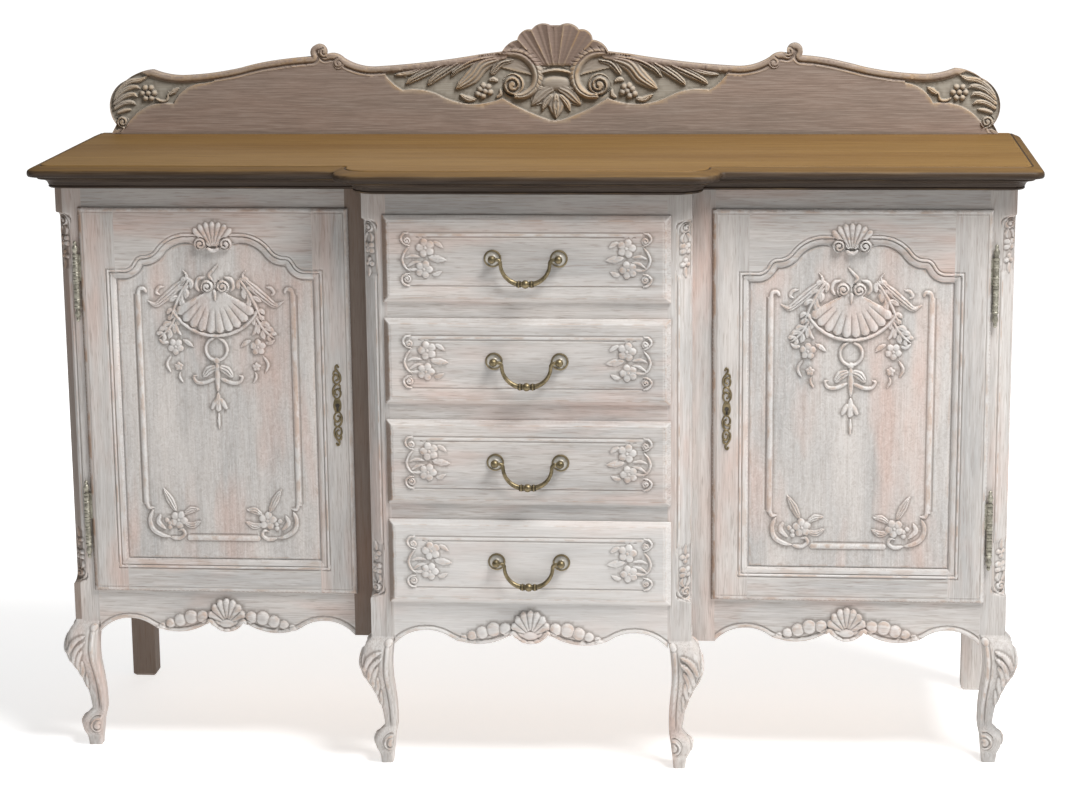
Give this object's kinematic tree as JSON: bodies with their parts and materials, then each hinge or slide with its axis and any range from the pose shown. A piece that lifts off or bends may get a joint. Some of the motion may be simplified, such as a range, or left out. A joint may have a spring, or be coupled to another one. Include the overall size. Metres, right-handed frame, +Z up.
{
  "type": "breakfront sideboard",
  "caption": "Limed oak breakfront sideboard with a brown moulded top, carved gallery, panelled cupboard doors, a middle stack of drawers with bail handles, and cabriole legs.",
  "frame": {"origin": "middle of the bounding box in plan, on the floor under the feet", "axes": "+X to the viewer's right along the front, +Y to the back, +Z up"},
  "size_m": [1.74, 0.549, 1.2694],
  "materials": {
    "limed_oak": "limed, hand-rubbed matt",
    "brown_oak": "waxed satin",
    "grey_oak": "worn grey wash, matt",
    "plain_oak": "unfinished",
    "brass": "aged satin",
    "hinge_metal": "worn limed wash",
    "lock_iron": "dark, dull"
  },
  "bodies": {
    "carcass": {"top_board": "brown_oak", "cornice": "brown_oak", "gallery": "grey_oak", "gallery_dowels": "grey_oak", "post_outer_left": "limed_oak", "post_outer_right": "limed_oak", "post_inner_left": "limed_oak", "post_inner_right": "limed_oak", "post_back_left": "limed_oak", "post_back_right": "limed_oak", "stile_left": "limed_oak", "stile_right": "limed_oak", "side_panel_left": "limed_oak", "side_panel_right": "limed_oak", "side_rails": "limed_oak", "back_panel": "plain_oak", "back_rails": "plain_oak", "partition_left": "plain_oak", "partition_right": "plain_oak", "top_rails": "limed_oak", "apron_left": "limed_oak", "apron_right": "limed_oak", "apron_center": "limed_oak", "cupboard_floors": "plain_oak", "shelves": "plain_oak", "shelf_cleats": "plain_oak", "drawer_dividers": "limed_oak", "drawer_runners": "plain_oak", "hinge_pins": "hinge_metal"},
    "door_left": {"door_stiles_left": "limed_oak", "door_rails_left": "limed_oak", "door_panel_left": "limed_oak", "hinge_barrels_left": "hinge_metal", "escutcheon_left": "brass", "lock_case_left": "lock_iron"},
    "bolt_left": {"lock_bolt_left": "lock_iron"},
    "door_right": {"door_stiles_right": "limed_oak", "door_rails_right": "limed_oak", "door_panel_right": "limed_oak", "hinge_barrels_right": "hinge_metal", "escutcheon_right": "brass", "lock_case_right": "lock_iron"},
    "bolt_right": {"lock_bolt_right": "lock_iron"},
    "drawer_1": {"drawer_front_1": "limed_oak", "drawer_box_1": "plain_oak", "handle_posts_1": "brass"},
    "handle_1": {"bail_1": "brass"},
    "drawer_2": {"drawer_front_2": "limed_oak", "drawer_box_2": "plain_oak", "handle_posts_2": "brass"},
    "handle_2": {"bail_2": "brass"},
    "drawer_3": {"drawer_front_3": "limed_oak", "drawer_box_3": "plain_oak", "handle_posts_3": "brass"},
    "handle_3": {"bail_3": "brass"},
    "drawer_4": {"drawer_front_4": "limed_oak", "drawer_box_4": "plain_oak", "handle_posts_4": "brass"},
    "handle_4": {"bail_4": "brass"}
  },
  "joints": [
    {"name": "door_left_hinge", "type": "hinge", "parent": "carcass", "child": "door_left", "pos_m": [-0.795, -0.1775, 0.645], "axis": [0, 0, -1], "range_deg": [0, 160]},
    {"name": "bolt_left_slide", "type": "slide", "parent": "door_left", "child": "bolt_left", "axis": [1, 0, 0], "range_m": [0, 0.014]},
    {"name": "door_right_hinge", "type": "hinge", "parent": "carcass", "child": "door_right", "pos_m": [0.795, -0.1775, 0.645], "axis": [0, 0, 1], "range_deg": [0, 160]},
    {"name": "bolt_right_slide", "type": "slide", "parent": "door_right", "child": "bolt_right", "axis": [-1, 0, 0], "range_m": [0, 0.014]},
    {"name": "drawer_1_slide", "type": "slide", "parent": "carcass", "child": "drawer_1", "axis": [0, -1, 0], "range_m": [0, 0.34]},
    {"name": "bail_1_hinge", "type": "hinge", "parent": "drawer_1", "child": "handle_1", "pos_m": [0, -0.256, 0.915], "axis": [-1, 0, 0], "range_deg": [0, 95]},
    {"name": "drawer_2_slide", "type": "slide", "parent": "carcass", "child": "drawer_2", "axis": [0, -1, 0], "range_m": [0, 0.34]},
    {"name": "bail_2_hinge", "type": "hinge", "parent": "drawer_2", "child": "handle_2", "pos_m": [0, -0.256, 0.737], "axis": [-1, 0, 0], "range_deg": [0, 95]},
    {"name": "drawer_3_slide", "type": "slide", "parent": "carcass", "child": "drawer_3", "axis": [0, -1, 0], "range_m": [0, 0.34]},
    {"name": "bail_3_hinge", "type": "hinge", "parent": "drawer_3", "child": "handle_3", "pos_m": [0, -0.256, 0.559], "axis": [-1, 0, 0], "range_deg": [0, 95]},
    {"name": "drawer_4_slide", "type": "slide", "parent": "carcass", "child": "drawer_4", "axis": [0, -1, 0], "range_m": [0, 0.34]},
    {"name": "bail_4_hinge", "type": "hinge", "parent": "drawer_4", "child": "handle_4", "pos_m": [0, -0.256, 0.381], "axis": [-1, 0, 0], "range_deg": [0, 95]}
  ]
}
